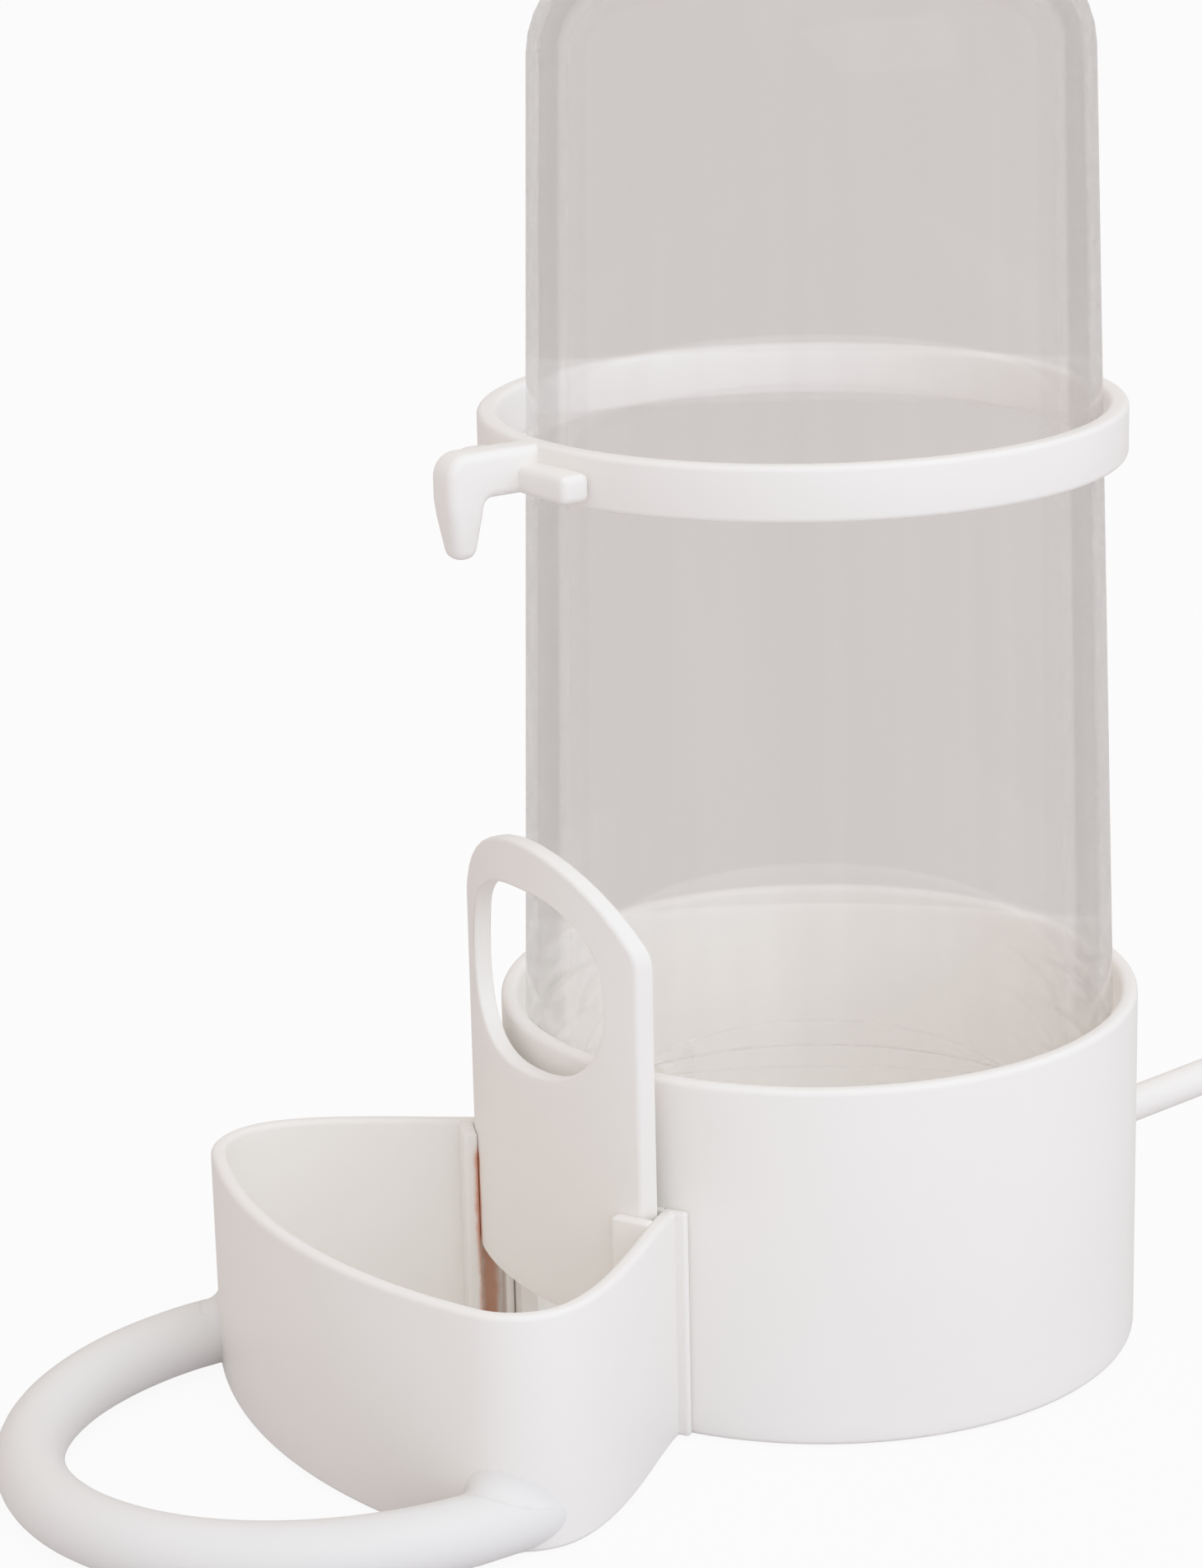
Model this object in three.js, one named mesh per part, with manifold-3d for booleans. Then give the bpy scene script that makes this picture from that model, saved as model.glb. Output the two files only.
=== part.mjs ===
// A gravity water dispenser for a bird cage. A clear upturned reservoir stands in a round cup, a sliding
// gate lets water through to a drinking trough with a perch loop, and a clip ring with a T hook hangs it on
// cage wires. Millimetres, Z up. The cup's axis is the Z axis, the foot stands on Z = 0 and the trough
// points to -Y.
import * as THREE from 'three';
import { mergeVertices } from 'three/addons/utils/BufferGeometryUtils.js';
import Module from 'manifold-3d';

const wasm = await Module();
wasm.setup();

// Fits
const JOINT_GAP = 0.3; // between mouldings that are bonded, or that pass closely
const SLIDE_GAP = 0.4; // round the gate in its grooves
const REST_GAP = 0.2; // under the reservoir's mouth

// Cup
const CUP_RADIUS = 34.1;
const CUP_WALL = 1.8;
const CUP_HEIGHT = 38.7;
const CUP_EDGE = 0.7; // rounding of the rim and of the foot's edge
const FLOOR = 2;
const SEAT_COUNT = 4; // places round the cup, the front one left open for the window
const SEAT_HEIGHT = 20;
const SEAT_REACH = 3.2;
const SEAT_THICKNESS = 1.6;
const WINDOW_WIDTH = 19;
const WINDOW_HEIGHT = 12;

// Rear rod on the cup
const ROD_RADIUS = 2;
const ROD_REACH = 24; // past the cup's wall
const ROD_HEIGHT = 13.2;
const ROD_RISE = 5; // degrees
const ROD_FILLET = 1.1; // where the rod leaves the cup

// Trough
const TROUGH_REACH = 32; // from the cup's wall to the front
const TROUGH_HEIGHT = 24.9;
const TROUGH_WALL = 1.6;
const TROUGH_WIDTH = 61.8;
const TROUGH_CORNER = 8;
const TROUGH_FRONT_RADIUS = 65;
const TROUGH_EDGE = 0.6; // rounding outside, over the rim and under the foot
const TROUGH_CHAMFER = 0.4; // inside the rim
const WAIST_WIDTH = 33.2;
const FLARE_LEAN = 2.2; // how far the wall leans out as it leaves the cup
const FLARE_START = 4.4; // pull of the flare's curve at the waist
const FLARE_END = 7.4; // pull of the flare's curve at the widest place
const LIP_LENGTH = 1.3; // seam lip that lies on the cup
const LIP_THICKNESS = 0.9;
const GUIDE_COVER = 2.6; // how far a guide covers the gate's edge
const GUIDE_THICKNESS = 1.5;

// Gate
const GATE_THICKNESS = 1.6;
const GATE_STANDOFF = 1.6; // between the cup's wall and the gate
const GATE_HEIGHT = 49.2;
const GATE_ARCH = 9.2; // rise of the arched top
const GATE_SHOULDER = 4; // rounding between a side and the arched top
const GATE_CORNER = 4; // rounding of the lower corners
const GATE_EDGE_WALL = 0.7; // trough wall left outside the gate's groove
const GATE_RAISED = 10; // how far the gate stands open above the floor
const HOLE_WIDTH = 24.6;
const HOLE_HEIGHT = 20.2;
const HOLE_DROP = 5; // from the gate's top to the finger hole

// Perch loop
const PERCH_RADIUS = 3.5;
const PERCH_WIDTH = 56.6; // across the bar's middle line
const PERCH_REACH = 27; // from the trough's front to the bar's middle line
const PERCH_ROOT = 5.7; // how far behind the trough's front the half oval starts
const PERCH_TAIL = 9; // end that runs along the corner of the trough
const PERCH_DRIFT = 1.6; // how far the end turns inwards

// Reservoir
const RESERVOIR_LENGTH = 129; // mouth to top
const RESERVOIR_WALL = 1.3;
const RESERVOIR_TOP_RADIUS = 28.3;
const RESERVOIR_STEP = 0.5; // from the neck out to the body
const STEP_DEPTH = 2; // the step lies this far inside the cup
const DOME_RADIUS = 11;
const CROWN_RISE = 1.2;
const BEAD_COUNT = 3;
const BEAD_HEIGHT = 0.95;
const BEAD_WIDTH = 1.8; // at the wall
const BEAD_CREST = 0.7; // at the top of the bead
const BEAD_PITCH = 5.2;
const BEAD_GAP = 0.35; // between a bead and the cup's wall

// Clip ring and hook
const RING_BOTTOM = 96.5;
const RING_HEIGHT = 5.6;
const RING_WALL = 2.1;
const RING_EDGE = 0.5;
const RING_SHIFT = 1.5; // the ring hangs forward on the reservoir
const BAR_LENGTH = 19.4;
const BAR_DEPTH = 2.3;
const BAR_HEIGHT = 2.9;
const BAR_EDGE = 0.8; // rounding along the bar
const BAR_END = 0.5; // rounding round its ends
const BAR_LIFT = 0.95; // above the ring's lower edge
const HOOK_REACH = 9.8; // from the ring to the peg's outer face
const HOOK_WIDTH = 3.9;
const HOOK_EDGE = 0.6;
const ARM_HEIGHT = 4.7;
const ARM_LIFT = 0.9; // above the ring's lower edge
const ARM_NOSE = 2.4; // rounding over the arm's end
const PEG_LENGTH = 6;
const PEG_ROOT = 3.9;
const PEG_TIP = 2.4;
const PEG_TIP_WIDTH = 2.3;
const PEG_FILLET = 0.8;

// Fineness of the facets
const ROUND_STEPS = 64; // round the cup, ring and reservoir
const EDGE_STEPS = 1; // over a rounded edge
const DOME_STEPS = 3;
const OUTLINE_STEPS = 12;
const TUBE_SIDES = 8; // half of a tube's sides
const TUBE_STEPS = 40;
const MERGE_DISTANCE = 1e-4;

// Sizes that follow from the ones above
const cupInner = CUP_RADIUS - CUP_WALL;
const seamRadius = CUP_RADIUS + JOINT_GAP;
const troughFront = CUP_RADIUS + TROUGH_REACH;
const gateBack = CUP_RADIUS + GATE_STANDOFF;
const gateFront = gateBack + GATE_THICKNESS;
const grooveBack = gateBack - SLIDE_GAP;
const grooveFront = gateFront + SLIDE_GAP;
const grooveHalf = widthAt(grooveBack, GATE_EDGE_WALL);
const gateHalf = grooveHalf - SLIDE_GAP;
const gateBottom = FLOOR + GATE_RAISED;
const mouthHeight = SEAT_HEIGHT + REST_GAP;
const reservoirTop = mouthHeight + RESERVOIR_LENGTH;
const beadRadius = cupInner - BEAD_GAP;
const neckRadius = beadRadius - BEAD_HEIGHT;
const bodyRadius = neckRadius + RESERVOIR_STEP;
const stepHeight = CUP_HEIGHT - STEP_DEPTH;
const shoulderHeight = reservoirTop - CROWN_RISE - DOME_RADIUS;
const overrun = 10; // cutters run this far past what they cut

const whitePlastic = { color: 0xf1efec, roughness: 0.45, metalness: 0 };
const clearPlastic = { color: 0xd6d3d8, roughness: 0.12, metalness: 0, transparent: true, opacity: 0.35 };

// Turns a closed three.js geometry into a solid that can be joined and cut.
function solid(geometry) {
  geometry.deleteAttribute('normal');
  geometry.deleteAttribute('uv');
  const merged = mergeVertices(geometry, MERGE_DISTANCE);
  const corners = [];
  for (let i = 0; i < merged.index.count; i += 3) {
    const [a, b, c] = [0, 1, 2].map((k) => merged.index.getX(i + k));
    if (a !== b && b !== c && c !== a) corners.push(a, b, c);
  }
  const vertProperties = new Float32Array(merged.attributes.position.array);
  const triVerts = new Uint32Array(corners);
  return new wasm.Manifold(new wasm.Mesh({ numProp: 3, vertProperties, triVerts }));
}

// Makes the named mesh of a finished solid.
function piece(name, body, look) {
  const { vertProperties, triVerts } = body.getMesh();
  const geometry = new THREE.BufferGeometry();
  geometry.setAttribute('position', new THREE.BufferAttribute(vertProperties, 3));
  geometry.setIndex(new THREE.BufferAttribute(triVerts, 1));
  geometry.computeVertexNormals();
  const mesh = new THREE.Mesh(geometry, new THREE.MeshStandardMaterial(look));
  mesh.name = name;
  return mesh;
}

// Revolves a profile of (radius, height) about Z.
function revolve(profile) {
  return solid(new THREE.LatheGeometry(profile.getPoints(EDGE_STEPS), ROUND_STEPS).rotateX(Math.PI / 2));
}

// Extrudes an outline in plan upwards.
function rise(outline, low, high) {
  const settings = { depth: high - low, bevelEnabled: false, curveSegments: OUTLINE_STEPS };
  return solid(new THREE.ExtrudeGeometry(outline, settings).translate(0, 0, low));
}

// Extrudes an outline in the (x, z) plane through the front, from y = -far to y = -near.
function passFront(outline, near, far) {
  const settings = { depth: far - near, bevelEnabled: false, curveSegments: OUTLINE_STEPS };
  return solid(new THREE.ExtrudeGeometry(outline, settings).rotateX(Math.PI / 2).translate(0, -near, 0));
}

// Settings of an extrusion whose end edges are rounded within its outline and length.
function roundedEnds(length, edge, curveSegments) {
  return {
    depth: length - 2 * edge,
    bevelEnabled: true,
    bevelThickness: edge,
    bevelSize: edge,
    bevelOffset: -edge,
    bevelSegments: 2 * EDGE_STEPS,
    curveSegments,
  };
}

// A plain ring about Z.
function annulus(inner, outer, low, high) {
  const profile = new THREE.Path();
  profile.moveTo(inner, low);
  profile.lineTo(outer, low);
  profile.lineTo(outer, high);
  profile.lineTo(inner, high);
  profile.lineTo(inner, low);
  return revolve(profile);
}

// A box given by its corners.
function block(low, high) {
  const size = high.map((value, i) => value - low[i]);
  const centre = high.map((value, i) => (value + low[i]) / 2);
  return solid(new THREE.BoxGeometry(...size).translate(...centre));
}

// A rectangle with rounded corners.
function roundedRectangle(x0, y0, x1, y1, radius) {
  const shape = new THREE.Shape();
  shape.moveTo(x0 + radius, y0);
  shape.absarc(x1 - radius, y0 + radius, radius, -Math.PI / 2, 0);
  shape.absarc(x1 - radius, y1 - radius, radius, 0, Math.PI / 2);
  shape.absarc(x0 + radius, y1 - radius, radius, Math.PI / 2, Math.PI);
  shape.absarc(x0 + radius, y0 + radius, radius, Math.PI, Math.PI * 1.5);
  return shape;
}

function cup() {
  const profile = new THREE.Path();
  profile.moveTo(0, 0);
  profile.lineTo(CUP_RADIUS - CUP_EDGE, 0);
  profile.absarc(CUP_RADIUS - CUP_EDGE, CUP_EDGE, CUP_EDGE, -Math.PI / 2, 0);
  profile.absarc(CUP_RADIUS - CUP_EDGE, CUP_HEIGHT - CUP_EDGE, CUP_EDGE, 0, Math.PI / 2);
  profile.absarc(cupInner + CUP_EDGE, CUP_HEIGHT - CUP_EDGE, CUP_EDGE, Math.PI / 2, Math.PI);
  profile.lineTo(cupInner, FLOOR);
  profile.lineTo(0, FLOOR);
  let body = revolve(profile);
  for (let i = 1; i < SEAT_COUNT; i += 1) {
    const turn = (360 * i) / SEAT_COUNT - 90;
    const inside = cupInner - SEAT_REACH;
    const low = [inside, -SEAT_THICKNESS / 2, FLOOR / 2];
    const high = [cupInner + CUP_WALL / 2, SEAT_THICKNESS / 2, SEAT_HEIGHT];
    body = body.add(block(low, high).rotate([0, 0, turn]));
  }
  const half = WINDOW_WIDTH / 2;
  const top = FLOOR + WINDOW_HEIGHT;
  body = body.subtract(block([-half, -CUP_RADIUS - overrun, FLOOR], [half, -cupInner / 2, top]));
  return body.add(rearRod());
}

function rearRod() {
  const inWall = CUP_WALL / 2;
  const root = CUP_RADIUS - inWall;
  const straight = CUP_RADIUS + ROD_REACH - root - ROD_RADIUS;
  const flare = ROD_RADIUS + ROD_FILLET;
  const profile = new THREE.Path();
  profile.moveTo(0, 0);
  profile.lineTo(flare, 0);
  profile.absarc(flare, inWall + ROD_FILLET, ROD_FILLET, -Math.PI / 2, -Math.PI, true);
  profile.absarc(0, straight, ROD_RADIUS, 0, Math.PI / 2);
  const bar = new THREE.LatheGeometry(profile.getPoints(DOME_STEPS), 2 * TUBE_SIDES);
  bar.rotateX(THREE.MathUtils.degToRad(ROD_RISE));
  return solid(bar.translate(0, root, ROD_HEIGHT));
}

// The right half of the trough's outline, from the waist to the middle of the front, moved in by an inset.
function troughHalf(inset) {
  const waist = WAIST_WIDTH / 2;
  const wide = TROUGH_WIDTH / 2;
  const waistY = -Math.sqrt(seamRadius ** 2 - waist ** 2);
  const frontCentre = -troughFront + TROUGH_FRONT_RADIUS;
  const cornerX = wide - TROUGH_CORNER;
  const cornerY = frontCentre - Math.sqrt((TROUGH_FRONT_RADIUS - TROUGH_CORNER) ** 2 - cornerX ** 2);
  const blendAngle = Math.atan2(cornerY - frontCentre, cornerX);
  const path = new THREE.Path();
  path.moveTo(waist, waistY);
  path.bezierCurveTo(waist + FLARE_LEAN, waistY - FLARE_START, wide, cornerY + FLARE_END, wide, cornerY);
  path.absarc(cornerX, cornerY, TROUGH_CORNER, 0, blendAngle, true);
  path.absarc(0, frontCentre, TROUGH_FRONT_RADIUS, blendAngle, -Math.PI / 2, true);
  const isNew = (p, i, all) => i === 0 || p.distanceTo(all[i - 1]) > MERGE_DISTANCE;
  const points = path.getPoints(OUTLINE_STEPS).filter(isNew);
  const last = points.length - 1;
  return points.map((p, i) => {
    if (i === last) return new THREE.Vector2(0, p.y + inset);
    const along = points[i + 1].clone().sub(points[Math.max(i - 1, 0)]).normalize();
    return new THREE.Vector2(p.x + along.y * inset, p.y - along.x * inset);
  });
}

// Half the width inside the trough's outline, moved in by an inset, where it crosses a radius about the cup.
function widthAt(radius, inset) {
  const points = troughHalf(inset);
  const next = points.findIndex((p) => p.length() > radius);
  const [before, after] = [points[next - 1], points[next]];
  const share = (radius - before.length()) / (after.length() - before.length());
  return before.x + (after.x - before.x) * share;
}

// The trough's whole outline in plan, closed behind at a radius about the cup's axis.
function troughOutline(inset, backRadius) {
  const right = troughHalf(inset);
  const left = right.slice(0, -1).reverse().map((p) => new THREE.Vector2(-p.x, p.y));
  const start = right[0];
  const angle = Math.atan2(start.y, start.x);
  const shape = new THREE.Shape([...right, ...left]);
  shape.absarc(0, 0, backRadius, -Math.PI - angle, angle, false);
  return shape;
}

// A piece of ring in plan, between two angles counted from the front, on the right-hand side.
function frontSector(inner, outer, from, to) {
  const shape = new THREE.Shape();
  shape.absarc(0, 0, outer, from - Math.PI / 2, to - Math.PI / 2, false);
  shape.absarc(0, 0, inner, to - Math.PI / 2, from - Math.PI / 2, true);
  return shape;
}

function mirrored(body) {
  return body.add(body.mirror([1, 0, 0]));
}

function trough() {
  const outer = roundedEnds(TROUGH_HEIGHT, TROUGH_EDGE, OUTLINE_STEPS);
  const wholeOutline = troughOutline(0, seamRadius);
  const whole = solid(new THREE.ExtrudeGeometry(wholeOutline, outer).translate(0, 0, TROUGH_EDGE));
  const inside = troughOutline(TROUGH_WALL, cupInner);
  const hollow = rise(inside, FLOOR, TROUGH_HEIGHT + overrun);
  const mouth = {
    depth: overrun,
    bevelThickness: TROUGH_CHAMFER,
    bevelSize: TROUGH_CHAMFER,
    bevelSegments: 1,
    curveSegments: OUTLINE_STEPS,
  };
  const chamfer = solid(new THREE.ExtrudeGeometry(inside, mouth).translate(0, 0, TROUGH_HEIGHT));
  const guideOuter = grooveFront + GUIDE_THICKNESS;
  const guideFrom = Math.asin((gateHalf - GUIDE_COVER) / gateFront);
  const guide = rise(frontSector(seamRadius, guideOuter, guideFrom, Math.PI / 2), FLOOR / 2, TROUGH_HEIGHT);
  const waistAngle = Math.asin(WAIST_WIDTH / 2 / seamRadius);
  const lipFrom = waistAngle - TROUGH_WALL / seamRadius;
  const lipTo = waistAngle + LIP_LENGTH / seamRadius;
  const lip = rise(frontSector(seamRadius, seamRadius + LIP_THICKNESS, lipFrom, lipTo), 0, TROUGH_HEIGHT);
  const slotRing = annulus(grooveBack, grooveFront, FLOOR, TROUGH_HEIGHT + overrun);
  const slotSpan = block([-grooveHalf, -troughFront, FLOOR], [grooveHalf, 0, TROUGH_HEIGHT + overrun]);
  return whole
    .subtract(hollow)
    .subtract(chamfer)
    .add(mirrored(guide).intersect(whole))
    .add(mirrored(lip))
    .subtract(slotRing.intersect(slotSpan));
}

// The gate's outline seen from the front: round lower corners, round shoulders and an arched top.
function gateOutline(top) {
  const archRadius = (gateHalf ** 2 + GATE_ARCH ** 2) / (2 * GATE_ARCH);
  const archZ = top - archRadius;
  const shoulderX = gateHalf - GATE_SHOULDER;
  const shoulderZ = archZ + Math.sqrt((archRadius - GATE_SHOULDER) ** 2 - shoulderX ** 2);
  const blend = Math.atan2(shoulderZ - archZ, shoulderX);
  const cornerX = gateHalf - GATE_CORNER;
  const cornerZ = gateBottom + GATE_CORNER;
  const outline = new THREE.Shape();
  outline.moveTo(-cornerX, gateBottom);
  outline.absarc(cornerX, cornerZ, GATE_CORNER, -Math.PI / 2, 0);
  outline.absarc(shoulderX, shoulderZ, GATE_SHOULDER, 0, blend);
  outline.absarc(0, archZ, archRadius, blend, Math.PI - blend);
  outline.absarc(-shoulderX, shoulderZ, GATE_SHOULDER, Math.PI - blend, Math.PI);
  outline.absarc(-cornerX, cornerZ, GATE_CORNER, Math.PI, Math.PI * 1.5);
  return outline;
}

function gate() {
  const top = gateBottom + GATE_HEIGHT;
  const hole = new THREE.Shape();
  hole.absellipse(0, top - HOLE_DROP - HOLE_HEIGHT / 2, HOLE_WIDTH / 2, HOLE_HEIGHT / 2, 0, Math.PI * 2);
  const curved = annulus(gateBack, gateFront, gateBottom - overrun, top + overrun);
  const blank = passFront(gateOutline(top), 0, gateFront + overrun);
  return curved.intersect(blank).subtract(passFront(hole, 0, gateFront + overrun));
}

// Middle line of the perch bar: a half oval with a tail that turns into each corner of the trough.
class PerchLine extends THREE.Curve {
  getPoint(t, target = new THREE.Vector3()) {
    const rootY = -troughFront + PERCH_ROOT;
    const depth = PERCH_REACH + PERCH_ROOT;
    const tail = PERCH_TAIL / depth;
    const angle = -tail + t * (Math.PI + 2 * tail);
    const inOval = Math.min(Math.max(angle, 0), Math.PI);
    const beyond = Math.abs(angle - inOval) * depth;
    const half = PERCH_WIDTH / 2 - PERCH_DRIFT * (beyond / PERCH_TAIL) ** 2;
    return target.set(half * Math.cos(inOval), rootY + beyond - depth * Math.sin(inOval), PERCH_RADIUS);
  }
}

function perchLoop() {
  const section = new THREE.Shape().absarc(0, 0, PERCH_RADIUS, 0, Math.PI * 2);
  const settings = {
    steps: TUBE_STEPS,
    extrudePath: new PerchLine(),
    curveSegments: TUBE_SIDES,
    bevelEnabled: false,
  };
  const bar = solid(new THREE.ExtrudeGeometry(section, settings));
  const clear = rise(troughOutline(-JOINT_GAP, cupInner), -overrun, TROUGH_HEIGHT + overrun);
  return bar.subtract(clear);
}

// Outer radius of the reservoir's tapered body at a height.
function reservoirRadius(height) {
  const share = (height - stepHeight) / (shoulderHeight - stepHeight);
  return bodyRadius + (RESERVOIR_TOP_RADIUS - bodyRadius) * share;
}

// The reservoir's outer side from the mouth up to the crown, moved inwards by an inset, as (radius, height).
function reservoirSide(inset, beads) {
  const path = new THREE.Path();
  path.moveTo(neckRadius - inset, mouthHeight);
  for (let i = 0; i < beads; i += 1) {
    const middle = stepHeight - BEAD_PITCH * (beads - i - 0.5);
    path.lineTo(neckRadius, middle - BEAD_WIDTH / 2);
    path.lineTo(beadRadius, middle - BEAD_CREST / 2);
    path.lineTo(beadRadius, middle + BEAD_CREST / 2);
    path.lineTo(neckRadius, middle + BEAD_WIDTH / 2);
  }
  path.lineTo(neckRadius - inset, stepHeight - RESERVOIR_STEP);
  path.lineTo(bodyRadius - inset, stepHeight);
  path.lineTo(RESERVOIR_TOP_RADIUS - inset, shoulderHeight);
  const crownEdge = RESERVOIR_TOP_RADIUS - DOME_RADIUS;
  path.absarc(crownEdge, shoulderHeight, DOME_RADIUS - inset, 0, Math.PI / 2);
  path.quadraticCurveTo(crownEdge / 2, reservoirTop - inset, 0, reservoirTop - inset);
  return path.getPoints(DOME_STEPS);
}

function reservoir() {
  const outside = reservoirSide(0, BEAD_COUNT);
  const inside = reservoirSide(RESERVOIR_WALL, 0);
  const profile = [...inside.reverse(), ...outside];
  return solid(new THREE.LatheGeometry(profile, ROUND_STEPS).rotateX(Math.PI / 2));
}

function clipRing() {
  const inner = reservoirRadius(RING_BOTTOM) + JOINT_GAP + RING_SHIFT;
  const outer = inner + RING_WALL;
  const section = roundedRectangle(inner, RING_BOTTOM, outer, RING_BOTTOM + RING_HEIGHT, RING_EDGE);
  section.closePath();
  const band = revolve(section).translate([0, -RING_SHIFT, 0]);
  const front = outer + RING_SHIFT;
  return band.add(crossBar(front)).add(hook(front));
}

// Crossbar of the hook, along X on the ring's front.
function crossBar(front) {
  const low = RING_BOTTOM + BAR_LIFT;
  const back = -front + RING_WALL / 2;
  const section = roundedRectangle(-front - BAR_DEPTH, low, back, low + BAR_HEIGHT, BAR_EDGE);
  const settings = roundedEnds(BAR_LENGTH, BAR_END, DOME_STEPS);
  const bar = new THREE.ExtrudeGeometry(section, settings).translate(0, 0, BAR_END - BAR_LENGTH / 2);
  return solid(bar.rotateX(Math.PI / 2).rotateZ(Math.PI / 2));
}

// Arm and peg of the hook, drawn from the side as (distance in front of the axis, height), with the peg
// tapered again as seen from the front.
function hook(front) {
  const root = front - RING_WALL / 2;
  const end = front + HOOK_REACH;
  const under = RING_BOTTOM + ARM_LIFT;
  const over = under + ARM_HEIGHT;
  const tip = under - PEG_LENGTH;
  const pegIn = end - PEG_ROOT;
  const tipMiddle = end - PEG_ROOT / 2;
  const filletIn = (PEG_FILLET * (PEG_ROOT - PEG_TIP)) / 2 / PEG_LENGTH;
  const side = new THREE.Shape();
  side.moveTo(root, under);
  side.lineTo(pegIn - PEG_FILLET, under);
  side.quadraticCurveTo(pegIn, under, pegIn + filletIn, under - PEG_FILLET);
  side.lineTo(tipMiddle - PEG_TIP / 2, tip);
  side.lineTo(tipMiddle + PEG_TIP / 2, tip);
  side.lineTo(end, under);
  side.absarc(end - ARM_NOSE, over - ARM_NOSE, ARM_NOSE, 0, Math.PI / 2);
  side.lineTo(root, over);
  const settings = roundedEnds(HOOK_WIDTH, HOOK_EDGE, DOME_STEPS);
  const arm = new THREE.ExtrudeGeometry(side, settings).translate(0, 0, HOOK_EDGE - HOOK_WIDTH / 2);
  const taper = new THREE.Shape();
  taper.moveTo(-PEG_TIP_WIDTH / 2, tip);
  taper.lineTo(PEG_TIP_WIDTH / 2, tip);
  taper.lineTo(HOOK_WIDTH / 2, under);
  taper.lineTo(HOOK_WIDTH / 2, over + overrun);
  taper.lineTo(-HOOK_WIDTH / 2, over + overrun);
  taper.lineTo(-HOOK_WIDTH / 2, under);
  const body = solid(arm.rotateX(Math.PI / 2).rotateZ(-Math.PI / 2));
  return body.intersect(passFront(taper, 0, end + overrun));
}

const dispenser = new THREE.Group();
dispenser.name = 'water_dispenser';
dispenser.add(
  piece('cup', cup(), whitePlastic),
  piece('trough', trough(), whitePlastic),
  piece('perch_loop', perchLoop(), whitePlastic),
  piece('gate', gate(), whitePlastic),
  piece('reservoir', reservoir(), clearPlastic),
  piece('clip_ring', clipRing(), whitePlastic),
);

export default dispenser;
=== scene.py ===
"""Looks of a bird cage water dispenser: clear reservoir, cup, gate, drinking trough, perch and clip ring.

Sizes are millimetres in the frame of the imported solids: Z up, the cup's axis on Z, the trough towards -Y.
Every finished mesh is brought to metres when its piece is made.
"""
import math

import bmesh
import bpy
from mathutils import Matrix, Vector
from mathutils.geometry import interpolate_bezier


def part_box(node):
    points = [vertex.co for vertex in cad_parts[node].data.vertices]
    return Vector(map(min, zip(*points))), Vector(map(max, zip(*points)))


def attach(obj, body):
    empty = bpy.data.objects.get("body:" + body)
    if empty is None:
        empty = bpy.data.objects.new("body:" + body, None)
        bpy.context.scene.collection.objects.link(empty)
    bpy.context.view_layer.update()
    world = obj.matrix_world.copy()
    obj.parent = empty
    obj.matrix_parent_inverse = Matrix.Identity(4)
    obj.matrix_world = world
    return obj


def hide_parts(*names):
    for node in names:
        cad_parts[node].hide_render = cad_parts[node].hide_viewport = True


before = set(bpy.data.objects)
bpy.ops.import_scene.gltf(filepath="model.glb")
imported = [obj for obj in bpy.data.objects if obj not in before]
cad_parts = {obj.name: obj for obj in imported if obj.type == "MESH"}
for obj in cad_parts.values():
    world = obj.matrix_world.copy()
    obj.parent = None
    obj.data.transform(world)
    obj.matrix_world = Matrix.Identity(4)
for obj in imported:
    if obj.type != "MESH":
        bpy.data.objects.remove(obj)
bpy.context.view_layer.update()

MM = 0.001
MERGE_DISTANCE = 0.001  # mm
FRONT = -90  # degrees from +X round the cup's axis to the front
ROUND_STEPS = 120  # round the cup, ring and reservoir, 3 degrees each
CORNER_STEPS = 5  # over the rounded corners of a profile and the trough's rim and foot
EDGE_STEPS = 3  # over other rounded edges
CRISP_ANGLE = 60  # degrees, edges that turn more are rounded
CREASE_ANGLE = 38  # degrees, edges that turn more are shaded crisp


def box(node):
    """Lowest and highest corner of a node of the frame, in millimetres."""
    low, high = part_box(node)
    return low / MM, high / MM


cup_high = box("cup")[1]
trough_low, trough_high = box("trough")
perch_low, perch_high = box("perch_loop")
gate_low, gate_high = box("gate")
reservoir_low, reservoir_high = box("reservoir")
ring_low, ring_high = box("clip_ring")

# Cup
CUP_RADIUS = cup_high.x
CUP_HEIGHT = cup_high.z
CUP_WALL = 1.8
CUP_EDGE = 0.7
CUP_FLOOR = 2
SEAT_COUNT = 4  # places round the cup, the front one left open for the window
SEAT_HEIGHT = 20
SEAT_REACH = 3.2
SEAT_SINK = 0.4  # the ribs run this far into the floor
WINDOW_HALF_ANGLE = 16.5
WINDOW_TOP = 14
WALL_TOLERANCE = 0.1  # of a wall face's radius
WALL_SLOPE = 0.1  # most that a wall face's normal rises or falls

# Rear rod on the cup
ROD_RADIUS = 2
ROD_HEIGHT = 13.2
ROD_RISE = 5  # degrees
ROD_FLARE = 1.1  # fillet where the rod leaves the cup
ROD_REACH = 24.88  # from the middle of the cup's wall to the rod's end, along the rod
ROD_END_EDGE = 1.8
ROD_STEPS = 32

# Trough
TROUGH_HEIGHT = trough_high.z
TROUGH_HALF = trough_high.x
TROUGH_FRONT = -trough_low.y
TROUGH_WALL = 1.6
TROUGH_CORNER = 8
TROUGH_FRONT_RADIUS = 65
TROUGH_RIM = 0.6  # rounding of the rim
TROUGH_FOOT = 0.6  # rounding of the foot's edge
SEAM_GAP = 0.1  # between the cup's wall and the trough
SEAM_RADIUS = CUP_RADIUS + SEAM_GAP
WAIST_HALF = 16.6
FLARE_LEAN = 2.2
FLARE_START = 4.4
FLARE_END = 7.4
FLARE_STEPS = 24
FRONT_STEPS = 16  # over a front corner, and over half the bowed front
SEAM_STEPS = 20

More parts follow.
